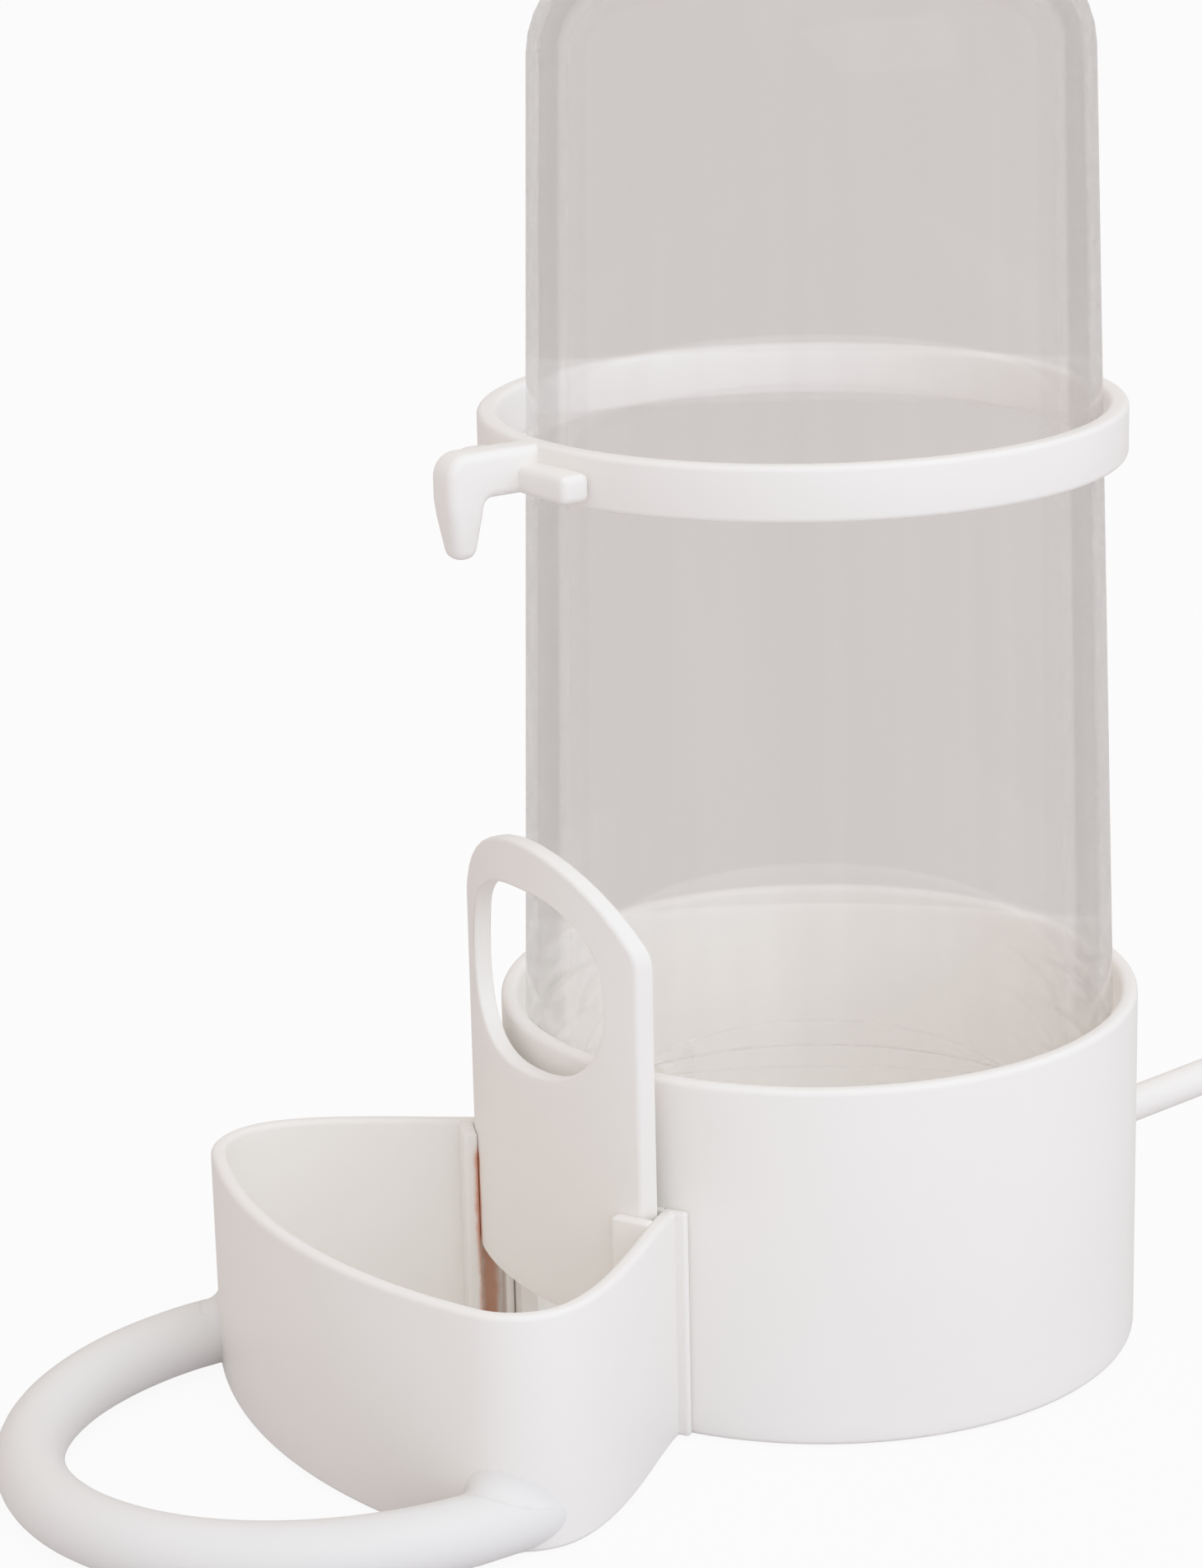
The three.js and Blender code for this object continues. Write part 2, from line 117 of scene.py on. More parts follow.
# Seam lips and gate guides on the trough
LIP_THICKNESS = 0.9
LIP_FROM = 26.2  # degrees from the front, round the cup
LIP_TO = 31.0
LIP_LOW = 0.2
GUIDE_FROM = 21.1
GUIDE_TO = 27.6
GUIDE_BACK = 37.7  # radius of the guide's face towards the gate
GUIDE_FRONT = 39.2
GUIDE_LOW = 1  # inside the trough's floor
GUIDE_EDGE = 0.35
STRIP_STEPS = 6

# Gate
GATE_BACK = 35.7  # radius of the face towards the cup
GATE_FRONT = 37.66
GATE_HALF = gate_high.x
GATE_ARCH_RADIUS = 18.6
GATE_SHOULDER = 4  # rounding between a side and the arched top
GATE_CORNER = 4
GATE_EDGE = 0.4
GATE_STEPS = 8  # along each part of half its outline
GATE_CUTS = 10  # between its outline and the hole
HOLE_WIDTH = 24.2
HOLE_HEIGHT = 19.6
HOLE_DROP = 5  # from the gate's top to the hole
HOLE_SQUARENESS = 2.4  # 2 is an ellipse, more fills its corners

# Perch loop
PERCH_RADIUS = (perch_high.z - perch_low.z) / 2
PERCH_WIDTH = 56.6  # across the bar's middle line
PERCH_REACH = -perch_low.y - PERCH_RADIUS  # from the cup's axis to the bar's middle line
PERCH_ROOT = 60.4  # from the cup's axis to where the half oval starts
PERCH_TURN = 4  # degrees short of the half oval's end, where the bar's straight tail starts
PERCH_TAIL = 8  # from the half oval's end to where the tail is level with the trough's side
PERCH_TAIL_SEARCH = 1.2  # tail lengths, within which every line of the bar meets the trough
PERCH_DRIFT = 1.2  # how far the tail leans inwards on that way
PERCH_SINK = 0.03  # depth of the bar's end in the trough's wall
PERCH_FILLET = 3  # largest fillet between bar and trough, on the outer side
PERCH_INNER_FILLET = 0.35  # share of it that is left on the inner side
PERCH_LEAST_FILLET = 0.05  # share of it that is left underneath
PERCH_FILLET_DROP = 0.3  # bar radii under its middle, where the fillet starts to grow
PERCH_FILLET_PULL = 0.6  # share of the way to the corner where the curve's handles lie
PERCH_SIDES = 32
PERCH_STEPS = 64
PERCH_TAIL_STEPS = 8
PERCH_FILLET_STEPS = 6

# Reservoir
MOUTH_HEIGHT = reservoir_low.z
MOUTH_EDGE = 0.4
RESERVOIR_TOP = reservoir_high.z
RESERVOIR_WALL = 1.3
RESERVOIR_CORNER_STEPS = 8
TOP_RADIUS = 28.3
BODY_RADIUS = 31.5
NECK_RADIUS = 31.0
STEP_HEIGHT = 36.7
STEP_RISE = 0.5
STEP_EDGE = 0.2
SHOULDER_RADIUS = 28.4  # of the corner that the dome's shoulder rounds
DOME_RADIUS = 11
CROWN_RISE = 1.2
CROWN_EDGE = 20
BEAD_COUNT = 3
BEAD_HEIGHT = 0.3
BEAD_WIDTH = 2.4
BEAD_CREST = 0.4
BEAD_PITCH = 5.2
BEAD_EDGE = 0.6

# Clip ring and hook
RING_BOTTOM = 96.5
RING_HEIGHT = 5.6
RING_OUTER = ring_high.x
RING_WALL = 2.1
RING_EDGE = 0.6
RING_SHIFT = 1.5  # the ring hangs forward on the reservoir
BAR_HALF = 9.7
BAR_DEPTH = 2.3
BAR_LOW = 97.45
BAR_HIGH = 100.35
BAR_EDGE = 0.8
BAR_EDGE_STEPS = 4
HOOK_HALF = 1.95
HOOK_EXTRA = 0.4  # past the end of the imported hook
HOOK_END = -ring_low.y + HOOK_EXTRA
HOOK_EDGE = 1.0
HOOK_EDGE_STEPS = 5
HOOK_CRISP_ANGLE = 45  # degrees, edges that turn more are rounded
ARM_LOW = 97.4
ARM_HIGH = 102.1
ARM_NOSE = 2.4
ARM_NOSE_STEPS = 8
PEG_ROOT = 4.1  # from front to back under the arm
PEG_TIP = 2.5  # and at the tip
PEG_SLANT = 0.9  # how far the tip's front lies behind the arm's end
PEG_TIP_SHARE = 0.65  # width at the tip as a share of the arm's width
PEG_FILLET = 1.1
PEG_FILLET_STEPS = 6
PEG_TAPER_START = 1.5  # fillets under the arm, where the peg starts to get narrower
PEG_END = ring_low.z

# White plastic, and a darker copy of it for the perch, which is painted shade
WHITE_LIGHT = "F8F6F3"
WHITE_DARK = "F4F1ED"
# Painted shade: a darker copy of the same white for the perch, whose upward faces catch more light and would
# otherwise render brighter
PERCH_SHADED_WHITE_LIGHT = "F0EFED"
PERCH_SHADED_WHITE_DARK = "EBE9E7"
WHITE_IOR = 1.49
WHITE_SMOOTHEST = 0.36  # roughness
WHITE_ROUGHEST = 0.5
CLOUD_SIZE = 28  # clouds in colour and gloss
CLOUD_DETAIL = 3.0
SKIN_GRAIN = 0.9  # coarser than the real skin, so that it shows
SKIN_DETAIL = 4.0
SKIN_DEPTH = 0.05
SKIN_STRENGTH = 0.06

# Water stain between the gate and its left guide: a line on the guide's edge and a spot in the groove
STAIN_COLOUR = "DDA283"
STAIN_LINE_RADIUS = 37.6  # from the cup's axis
STAIN_LINE_TURN = FRONT - GUIDE_FROM
STAIN_LINE_REACH = 0.7
STAIN_LINE_TOP = 22
STAIN_SPOT_RADIUS = 36.4  # on the wall at the end of the groove
STAIN_SPOT_BEHIND = 5.3  # degrees round the cup from the guide's edge
STAIN_SPOT_TURN = FRONT - STAIN_SPOT_BEHIND - GUIDE_FROM
STAIN_SPOT_REACH = 1.1
STAIN_SPOT_TOP = 10
STAIN_RAGGED = 1.4
STAIN_GRAIN = 3
STAIN_DETAIL = 5.0
STAIN_FADE = 2
STAIN_STRENGTH = 0.85

# Clear plastic
CLEAR_TINT = "FFFFFF"
FLOW_TINT = "FBFAFA"
FLOW_WIDTH = 5  # of an upright flow line
FLOW_SQUEEZE = 0.05  # of the pattern's scale along the height
FLOW_DETAIL = 4.0
FLOW_FROM = 0.35  # of the noise, where the tint starts
FLOW_TO = 0.65  # and where it is full
FLOW_DEPTH = 0.1
FLOW_STRENGTH = 0.06
CLEAR_SMOOTHEST = 0.03  # roughness
CLEAR_ROUGHEST = 0.12
COAT_WEIGHT = 0.5
COAT_IOR = 1.59  # polystyrene's own, for the gloss
COAT_ROUGHNESS = 0.03
THIN_WALL_IOR = 1.12  # bends as little as a thin wall does
THIN_WALL_SHARE = 0.3  # of what is seen through the thin wall that isn't bent

# Camera, fitted to the photograph
CAMERA_PLACE = (336.2, -246.0, 183.3)
CAMERA_HEADING = 56.95  # degrees from +Y towards -X
CAMERA_TILT = 16.37  # degrees down
CAMERA_ROLL = -1.37
CAMERA_LENS = 93.95
CAMERA_SENSOR = 36
CAMERA_NEAR = 10

# Floor, backdrop and room
FLOOR_SIZE = 6000
FLOOR_DROP = 0.3  # just under the feet
FLOOR_GREY = "DDD9DB"
FLOOR_PLAIN_SHARE = 0.92  # of the floor's own look that the plain backdrop covers
BACKDROP_WHITE = "FFFFFF"
BACKDROP_IN_GLASS = "D1CCCA"  # the backdrop's pale grey, as seen through and in glossy plastic
ROOM_BRIGHT = "F4F9FF"
ROOM_DARK = "D9C4B3"
ROOM_STRENGTH = 0.98
ROOM_WAY = (0.85, 0.1, 0.5)  # towards the bright side of the room

# Lamp
LAMP_PLACE = (750, 0, 600)
LAMP_TARGET = (0, -10, 60)  # the middle of the dispenser
LAMP_SIZE = 900
LAMP_POWER = 2.2  # watts
LAMP_COLOUR = "F2F8FF"

# Light paths
DIFFUSE_BOUNCES = 10  # between the white walls
MAX_BOUNCES = 20
CLEAR_BOUNCES = 64


def linear(code):
    """Linear colour of an sRGB hex code."""
    shares = [int(code[i:i + 2], 16) / 255 for i in (0, 2, 4)]
    return [s / 12.92 if s <= 0.04045 else ((s + 0.055) / 1.055) ** 2.4 for s in shares] + [1]


def add_node(tree, kind, settings=None, inputs=None):
    """Adds a node, sets its properties, and sets or links its inputs."""
    node = tree.nodes.new(kind)
    for name, value in (settings or {}).items():
        setattr(node, name, value)
    for socket, value in (inputs or {}).items():
        if isinstance(value, bpy.types.NodeSocket):
            tree.links.new(value, node.inputs[socket])
        else:
            node.inputs[socket].default_value = value
    return node


def new_material(name):
    """An empty node material and its tree."""
    material = bpy.data.materials.new(name)
    material.use_nodes = True
    material.node_tree.nodes.clear()
    return material, material.node_tree


def per_mm(size):
    """Noise scale in metres of object space for a pattern of a size in millimetres."""
    return 1 / (size * MM)


def polar(radius, turn):
    """The point at a radius from the cup's axis and a turn in degrees from +X, at the height of the foot."""
    return Vector((radius * math.cos(math.radians(turn)), radius * math.sin(math.radians(turn)), 0))


def water_stain(tree, place, clean, middle, reach, top):
    """Covers a clean colour with the brown mark of standing water, round an upright line up to a height."""
    flat = add_node(tree, "ShaderNodeVectorMath", {"operation": "MULTIPLY"}, {0: place, 1: (1, 1, 0)})
    away = add_node(
        tree, "ShaderNodeVectorMath", {"operation": "DISTANCE"}, {0: flat.outputs["Vector"], 1: middle * MM},
    )
    ragged = add_node(
        tree, "ShaderNodeTexNoise",
        inputs={"Vector": place, "Scale": per_mm(STAIN_GRAIN), "Detail": STAIN_DETAIL},
    )
    edge = add_node(
        tree, "ShaderNodeMath", {"operation": "MULTIPLY_ADD"},
        {0: ragged.outputs["Fac"], 1: STAIN_RAGGED * MM, 2: away.outputs["Value"]},
    )
    near = add_node(
        tree, "ShaderNodeMapRange", {"interpolation_type": "SMOOTHSTEP"},
        {
            "Value": edge.outputs[0], "From Min": reach * MM, "From Max": (reach + STAIN_RAGGED / 2) * MM,
            "To Min": STAIN_STRENGTH, "To Max": 0.0,
        },
    )
    height = add_node(tree, "ShaderNodeSeparateXYZ", inputs={0: place})
    below = add_node(
        tree, "ShaderNodeMapRange", {"interpolation_type": "SMOOTHSTEP"},
        {
            "Value": height.outputs["Z"], "From Min": top * MM, "From Max": (top + STAIN_FADE) * MM,
            "To Min": 1.0, "To Max": 0.0,
        },
    )
    amount = add_node(
        tree, "ShaderNodeMath", {"operation": "MULTIPLY"},
        {0: near.outputs["Result"], 1: below.outputs["Result"]},
    )
    mix = add_node(
        tree, "ShaderNodeMix", {"data_type": "RGBA"},
        {"Factor": amount.outputs[0], 6: clean, 7: linear(STAIN_COLOUR)},
    )
    return mix.outputs[2]


# Polypropylene, injection moulded: white, satin, faintly cloudy, with a fine moulded skin.
def polypropylene(name, light, dark, stained=False):
    material, tree = new_material(name)
    place = add_node(tree, "ShaderNodeTexCoord").outputs["Object"]
    cloud = add_node(
        tree, "ShaderNodeTexNoise",
        inputs={"Vector": place, "Scale": per_mm(CLOUD_SIZE), "Detail": CLOUD_DETAIL},
    )
    shade = add_node(
        tree, "ShaderNodeMix", {"data_type": "RGBA"},
        {"Factor": cloud.outputs["Fac"], 6: linear(light), 7: linear(dark)},
    )
    colour = shade.outputs[2]
    if stained:
        guide_edge = polar(STAIN_LINE_RADIUS, STAIN_LINE_TURN)
        colour = water_stain(tree, place, colour, guide_edge, STAIN_LINE_REACH, STAIN_LINE_TOP)
        groove_end = polar(STAIN_SPOT_RADIUS, STAIN_SPOT_TURN)
        colour = water_stain(tree, place, colour, groove_end, STAIN_SPOT_REACH, STAIN_SPOT_TOP)
    skin = add_node(
        tree, "ShaderNodeTexNoise",
        inputs={"Vector": place, "Scale": per_mm(SKIN_GRAIN), "Detail": SKIN_DETAIL},
    )
    gloss = add_node(
        tree, "ShaderNodeMapRange",
        inputs={"Value": cloud.outputs["Fac"], "To Min": WHITE_SMOOTHEST, "To Max": WHITE_ROUGHEST},
    )
    bump = add_node(
        tree, "ShaderNodeBump",
        inputs={"Strength": SKIN_STRENGTH, "Distance": SKIN_DEPTH * MM, "Height": skin.outputs["Fac"]},
    )
    shader = add_node(
        tree, "ShaderNodeBsdfPrincipled",
        inputs={
            "Base Color": colour, "Roughness": gloss.outputs["Result"], "IOR": WHITE_IOR,
            "Normal": bump.outputs["Normal"],
        },
    )
    add_node(tree, "ShaderNodeOutputMaterial", inputs={"Surface": shader.outputs["BSDF"]})
    return material


# Polystyrene, injection moulded: clear, glossy, with faint upright flow lines from the mould. Its thin wall
# bends only part of what is seen through it, and lets light pass unbent to what stands inside.
def clear_polystyrene():
    material, tree = new_material("clear_polystyrene_moulded")
    place = add_node(tree, "ShaderNodeTexCoord").outputs["Object"]
    upright = add_node(tree, "ShaderNodeMapping", inputs={"Vector": place, "Scale": (1, 1, FLOW_SQUEEZE)})
    flow = add_node(
        tree, "ShaderNodeTexNoise",
        inputs={"Vector": upright.outputs["Vector"], "Scale": per_mm(FLOW_WIDTH), "Detail": FLOW_DETAIL},
    )
    streak = add_node(
        tree, "ShaderNodeMapRange",
        inputs={"Value": flow.outputs["Fac"], "From Min": FLOW_FROM, "From Max": FLOW_TO},
    )
    tint = add_node(
        tree, "ShaderNodeMix", {"data_type": "RGBA"},
        {"Factor": streak.outputs["Result"], 6: linear(CLEAR_TINT), 7: linear(FLOW_TINT)},
    )
    gloss = add_node(
        tree, "ShaderNodeMapRange",
        inputs={"Value": flow.outputs["Fac"], "To Min": CLEAR_SMOOTHEST, "To Max": CLEAR_ROUGHEST},
    )
    bump = add_node(
        tree, "ShaderNodeBump",
        inputs={"Strength": FLOW_STRENGTH, "Distance": FLOW_DEPTH * MM, "Height": flow.outputs["Fac"]},
    )
    shader = add_node(
        tree, "ShaderNodeBsdfPrincipled",
        inputs={
            "Base Color": tint.outputs[2], "Roughness": gloss.outputs["Result"], "IOR": THIN_WALL_IOR,
            "Transmission Weight": 1.0, "Normal": bump.outputs["Normal"],
            "Coat Weight": COAT_WEIGHT, "Coat IOR": COAT_IOR, "Coat Roughness": COAT_ROUGHNESS,
        },
    )
    path = add_node(tree, "ShaderNodeLightPath")
    lighting = add_node(
        tree, "ShaderNodeMath", {"operation": "MAXIMUM"},
        {0: path.outputs["Is Shadow Ray"], 1: path.outputs["Is Diffuse Ray"]},
    )
    thin = add_node(
        tree, "ShaderNodeMath", {"operation": "MAXIMUM"}, {0: lighting.outputs[0], 1: THIN_WALL_SHARE},
    )
    unbent = add_node(tree, "ShaderNodeBsdfTransparent")
    mix = add_node(
        tree, "ShaderNodeMixShader",
        inputs={0: thin.outputs[0], 1: shader.outputs["BSDF"], 2: unbent.outputs["BSDF"]},
    )
    add_node(tree, "ShaderNodeOutputMaterial", inputs={"Surface": mix.outputs[0]})
    return material


def link_object(name, data):
    """An object of some data, in the scene."""
    obj = bpy.data.objects.new(name, data)
    bpy.context.scene.collection.objects.link(obj)
    return obj


def finish_piece(bm, name, node, body, material):
    """Makes the piece of a finished bmesh, in metres, in place of a node of the frame."""
    bmesh.ops.scale(bm, vec=(MM, MM, MM), verts=bm.verts)
    mesh = bpy.data.meshes.new(name)
    bm.to_mesh(mesh)
    bm.free()
    mesh.shade_smooth()
    mesh.set_sharp_from_angle(angle=math.radians(CREASE_ANGLE))
    mesh.materials.append(material)
    piece = link_object(name, mesh)
    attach(piece, body)
    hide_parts(node)


def line(bm, points, closed=False):
    """A line of edges through points, with its vertices and edges."""
    verts = [bm.verts.new(point) for point in points]
    pairs = list(zip(verts, verts[1:]))
    if closed:
        pairs.append((verts[-1], verts[0]))
    return verts, [bm.edges.new(pair) for pair in pairs]


def profile(bm, corners, closed=False, steps=CORNER_STEPS):
    """A profile of (radius, height, rounding) corners in the plane of X and Z."""
    verts = line(bm, [(radius, 0, height) for radius, height, rounding in corners], closed)[0]
    for vert, corner in zip(verts, corners):
        rounding = corner[2]
        if not rounding:
            continue
        ways = [(edge.other_vert(vert).co - vert.co) for edge in vert.link_edges]
        turn = math.pi - ways[0].angle(ways[1])
        bmesh.ops.bevel(
            bm, geom=[vert], offset=rounding * math.tan(turn / 2), offset_type="OFFSET", segments=steps,
            profile=0.5, affect="VERTICES", material=-1,
        )


def spin_round(bm, steps=ROUND_STEPS):
    """Spins everything in the mesh once round the Z axis, and turns all faces outwards."""
    bmesh.ops.spin(
        bm, geom=bm.verts[:] + bm.edges[:], cent=(0, 0, 0), axis=(0, 0, 1), angle=math.tau, steps=steps,
        use_merge=True,
    )
    bmesh.ops.remove_doubles(bm, verts=bm.verts, dist=MERGE_DISTANCE)
    bmesh.ops.recalc_face_normals(bm, faces=bm.faces)


def soften(bm, edges, width, steps=EDGE_STEPS):
    """Rounds edges."""
    bmesh.ops.bevel(
        bm, geom=edges, offset=width, offset_type="OFFSET", segments=steps, profile=0.5, affect="EDGES",
        clamp_overlap=False, material=-1,
    )


def crisp_edges(bm, angle=CRISP_ANGLE):
    """Edges between two faces that turn by more than an angle in degrees."""
    return [e for e in bm.edges if len(e.link_faces) == 2 and e.calc_face_angle() > math.radians(angle)]


def join(bm, other):
    """Adds a second bmesh to the first."""
    carrier = bpy.data.meshes.new("carrier")
    other.to_mesh(carrier)
    other.free()
    bm.from_mesh(carrier)
    bpy.data.meshes.remove(carrier)


def arc(centre, radius, start, end, steps):
    """Points of an arc in plan, with angles in degrees."""
    turns = [math.radians(start + (end - start) * i / steps) for i in range(steps + 1)]
    return [Vector((centre[0] + radius * math.cos(t), centre[1] + radius * math.sin(t), 0)) for t in turns]


def sector(inner, outer, low, high, start, end):
    """A closed piece of ring about the cup's axis, between two angles in degrees."""
    bm = bmesh.new()
    corners = [(inner, 0, low), (outer, 0, low), (outer, 0, high), (inner, 0, high)]
    verts, edges = line(bm, corners, closed=True)
    face = bm.faces.new(verts)
    bmesh.ops.spin(
        bm, geom=[face] + edges + verts, cent=(0, 0, 0), axis=(0, 0, 1), angle=math.radians(end - start),
        steps=STRIP_STEPS,
    )
    bmesh.ops.rotate(bm, cent=(0, 0, 0), matrix=Matrix.Rotation(math.radians(start), 3, "Z"), verts=bm.verts)
    bmesh.ops.recalc_face_normals(bm, faces=bm.faces)
    return bm


def make_cup(material):
    """The cup with its window, seat ribs and rear rod."""
    inner = CUP_RADIUS - CUP_WALL
    half_step = math.pi / ROUND_STEPS
    bm = bmesh.new()
    profile(bm, [
        (0, 0, 0),
        (CUP_RADIUS, 0, CUP_EDGE),
        (CUP_RADIUS, CUP_FLOOR, 0),
        (CUP_RADIUS, WINDOW_TOP, 0),
        (CUP_RADIUS, CUP_HEIGHT, CUP_EDGE),
        (inner, CUP_HEIGHT, CUP_EDGE),
        (inner, SEAT_HEIGHT, 0),
        (inner, WINDOW_TOP, 0),
        (inner, CUP_FLOOR, 0),
        (0, CUP_FLOOR, 0),
    ])
    bmesh.ops.rotate(bm, cent=(0, 0, 0), matrix=Matrix.Rotation(half_step, 3, "Z"), verts=bm.verts)
    spin_round(bm)
    cut_window(bm, inner)
    for i in range(1, SEAT_COUNT):
        raise_seat(bm, inner, FRONT + 360 * i / SEAT_COUNT)
    join(bm, rear_rod())
    finish_piece(bm, "round_cup", "cup", "base", material)


def wall_faces(bm, radius, low, high, angle, half_angle):
    """Upright faces of a round wall within a range of heights and angles."""
    found = []
    for face in bm.faces:
        middle = face.calc_center_median()
        off = (math.degrees(math.atan2(middle.y, middle.x)) - angle + 180) % 360 - 180
        on_wall = abs(middle.xy.length - radius) < WALL_TOLERANCE and abs(face.normal.z) < WALL_SLOPE
        if on_wall and low < middle.z < high and abs(off) < half_angle:
            found.append(face)
    return found


def cut_window(bm, inner):
    """Opens the window low in the front wall and closes its sides through the wall."""
    faces = wall_faces(bm, CUP_RADIUS, CUP_FLOOR, WINDOW_TOP, FRONT, WINDOW_HALF_ANGLE)
    faces += wall_faces(bm, inner, CUP_FLOOR, WINDOW_TOP, FRONT, WINDOW_HALF_ANGLE)
    bmesh.ops.delete(bm, geom=faces, context="FACES")
    bmesh.ops.bridge_loops(bm, edges=[edge for edge in bm.edges if edge.is_boundary])
    bmesh.ops.recalc_face_normals(bm, faces=bm.faces)


def raise_seat(bm, inner, angle):
    """Draws one seat rib out of the cup's inner wall."""
    faces = wall_faces(bm, inner, CUP_FLOOR, SEAT_HEIGHT, angle, 180 / ROUND_STEPS)
    edges = [edge for edge in bm.edges if any(face in faces for face in edge.link_faces)]
    corners = [vert for vert in bm.verts if any(face in faces for face in vert.link_faces)]
    result = bmesh.ops.extrude_face_region(bm, geom=faces + edges + corners)
    verts = [item for item in result["geom"] if isinstance(item, bmesh.types.BMVert)]
    way = Matrix.Rotation(math.radians(angle), 3, "Z") @ Vector((-SEAT_REACH, 0, 0))
    bmesh.ops.translate(bm, vec=way, verts=verts)
    foot = [vert for vert in verts if vert.co.z < CUP_FLOOR + MERGE_DISTANCE]
    bmesh.ops.translate(bm, vec=(0, 0, -SEAT_SINK), verts=foot)


def rear_rod():
    """The thin rod on the cup's back, with a fillet at its root and a round end."""
    root = CUP_RADIUS - CUP_WALL / 2
    wall = CUP_WALL / 2
    bm = bmesh.new()
    profile(bm, [
        (0, 0, 0),
        (ROD_RADIUS + ROD_FLARE, 0, 0),
        (ROD_RADIUS + ROD_FLARE, wall, 0),
        (ROD_RADIUS, wall + ROD_FLARE, ROD_FLARE),
        (ROD_RADIUS, ROD_REACH, ROD_END_EDGE),
        (0, ROD_REACH, 0),
    ])
    spin_round(bm, ROD_STEPS)
    tilt = Matrix.Rotation(math.radians(ROD_RISE - 90), 3, "X")
    bmesh.ops.rotate(bm, cent=(0, 0, 0), matrix=tilt, verts=bm.verts)
    bmesh.ops.translate(bm, vec=(0, root, ROD_HEIGHT), verts=bm.verts)
    return bm


def trough_corner():
    """Centre of the trough's round front corner on the right."""
    front_y = TROUGH_FRONT_RADIUS - TROUGH_FRONT
    corner_x = TROUGH_HALF - TROUGH_CORNER
    return corner_x, front_y - math.sqrt((TROUGH_FRONT_RADIUS - TROUGH_CORNER) ** 2 - corner_x ** 2)


def trough_outline():
    """The trough's outer edge in plan, from the left of the waist round the front to the right of it."""
    waist_y = -math.sqrt(SEAM_RADIUS ** 2 - WAIST_HALF ** 2)
    front_y = TROUGH_FRONT_RADIUS - TROUGH_FRONT
    corner_x, corner_y = trough_corner()
    blend = math.degrees(math.atan2(corner_y - front_y, corner_x))
    flare = interpolate_bezier(
        (WAIST_HALF, waist_y, 0), (WAIST_HALF + FLARE_LEAN, waist_y - FLARE_START, 0),
        (TROUGH_HALF, corner_y + FLARE_END, 0), (TROUGH_HALF, corner_y, 0), FLARE_STEPS,
    )
    corner = arc((corner_x, corner_y), TROUGH_CORNER, 0, blend, FRONT_STEPS)
    front = arc((0, front_y), TROUGH_FRONT_RADIUS, blend, FRONT, FRONT_STEPS)
    right = list(flare) + corner[1:] + front[1:]
    left = [Vector((-point.x, point.y, 0)) for point in right[:-1]]
    return left + right[::-1]


def make_trough(material):
    """The trough: a floor and wall of one thickness, and the strips next to the cup."""
    outline = trough_outline()
    start = math.degrees(math.atan2(outline[-1].y, outline[-1].x))
    seam = arc((0, 0), SEAM_RADIUS, start, -180 - start, SEAM_STEPS)[1:-1]
    bm = bmesh.new()
    verts, edges = line(bm, outline + seam, closed=True)
    bm.faces.new(verts)
    wall = bmesh.ops.extrude_edge_only(bm, edges=edges[:len(outline) - 1])
    rim = [item for item in wall["geom"] if isinstance(item, bmesh.types.BMVert)]
    bmesh.ops.translate(bm, vec=(0, 0, TROUGH_HEIGHT), verts=rim)
    bmesh.ops.recalc_face_normals(bm, faces=bm.faces)
    bmesh.ops.solidify(bm, geom=bm.faces[:], thickness=TROUGH_WALL)
    top = [e for e in crisp_edges(bm) if min(v.co.z for v in e.verts) > TROUGH_HEIGHT - MERGE_DISTANCE]
    soften(bm, top, TROUGH_RIM, CORNER_STEPS)
    foot = [e for e in crisp_edges(bm) if max(v.co.z for v in e.verts) < MERGE_DISTANCE]
    soften(bm, foot, TROUGH_FOOT, CORNER_STEPS)
    for side in (1, -1):
        add_strips(bm, side)
    finish_piece(bm, "drinking_trough", "trough", "base", material)


def add_strips(bm, side):
    """Adds the seam lip, the gate's guide and the strip behind its groove, on one side of the trough."""
    lip_front = SEAM_RADIUS + LIP_THICKNESS
    for inner, outer, low, start, end in (
        (SEAM_RADIUS, lip_front, LIP_LOW, LIP_FROM, LIP_TO),
        (GUIDE_BACK, GUIDE_FRONT, GUIDE_LOW, GUIDE_FROM, GUIDE_TO),
        (SEAM_RADIUS, lip_front, GUIDE_LOW, GUIDE_FROM, GUIDE_TO),
    ):
        strip = sector(inner, outer, low, TROUGH_HEIGHT, FRONT + side * start, FRONT + side * end)
        soften(strip, crisp_edges(strip), GUIDE_EDGE)
        join(bm, strip)


def gate_outline(steps):
    """The gate's outer edge seen from the front, anticlockwise from the middle of the lower edge."""
    low = gate_low.z
    corner = (GATE_HALF - GATE_CORNER, low + GATE_CORNER)
    arch = (0, gate_high.z - GATE_ARCH_RADIUS)
    shoulder_x = GATE_HALF - GATE_SHOULDER
    shoulder_rise = math.sqrt((GATE_ARCH_RADIUS - GATE_SHOULDER) ** 2 - shoulder_x ** 2)
    shoulder = (shoulder_x, arch[1] + shoulder_rise)
    blend = math.degrees(math.atan2(shoulder_rise, shoulder_x))
    side = shoulder[1] - corner[1]
    points = [Vector((corner[0] * i / steps, low, 0)) for i in range(steps)]
    points += arc(corner, GATE_CORNER, -90, 0, steps)
    points += [Vector((GATE_HALF, corner[1] + side * i / (2 * steps), 0)) for i in range(1, 2 * steps)]
    points += arc(shoulder, GATE_SHOULDER, 0, blend, steps)
    points += arc(arch, GATE_ARCH_RADIUS, blend, 90, steps)[1:]
    right = [Vector((point.x, 0, point.y)) for point in points]
    left = [Vector((-point.x, 0, point.z)) for point in right[1:-1]]
    return right + left[::-1]


def bulge(share):
    """Moves a share of an ellipse's half axis out towards a squarer oval."""
    return math.copysign(abs(share) ** (2 / HOLE_SQUARENESS), share)


